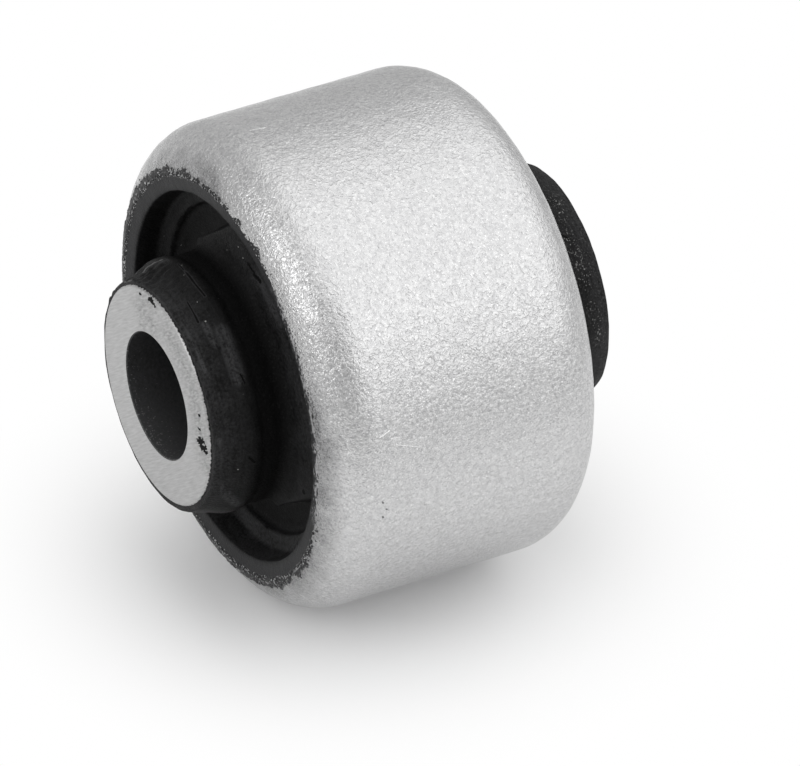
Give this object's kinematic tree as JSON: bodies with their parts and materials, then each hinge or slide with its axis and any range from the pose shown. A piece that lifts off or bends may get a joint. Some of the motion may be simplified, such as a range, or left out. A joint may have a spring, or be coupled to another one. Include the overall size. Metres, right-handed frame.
{
  "type": "rubber metal bush",
  "caption": "Round suspension bush: a smooth metal outer sleeve with rolled-in ends, a black rubber body with tapered collars and a recess crossed by a web at each end, and a thick inner sleeve bored for a bolt.",
  "frame": {"origin": "on the axis of the bore, in the plane of the lower end face of the inner sleeve", "axes": "+Z along the bore axis from the lower end to the end that the picture shows, +X and +Y in the lower end face; the rubber's two webs lie on the -Y side, and all else is round about Z"},
  "size_m": [0.046, 0.046, 0.041],
  "materials": {
    "outer_metal": "satin, tumbled to a fine orange-peel grain",
    "rubber": "matte, as moulded, lightly dusted",
    "inner_metal": "ends faced with fine turning lines, bore dark"
  },
  "bodies": {
    "root": {"outer_sleeve": "outer_metal", "rubber_body": "rubber", "inner_sleeve": "inner_metal"}
  },
  "joints": []
}
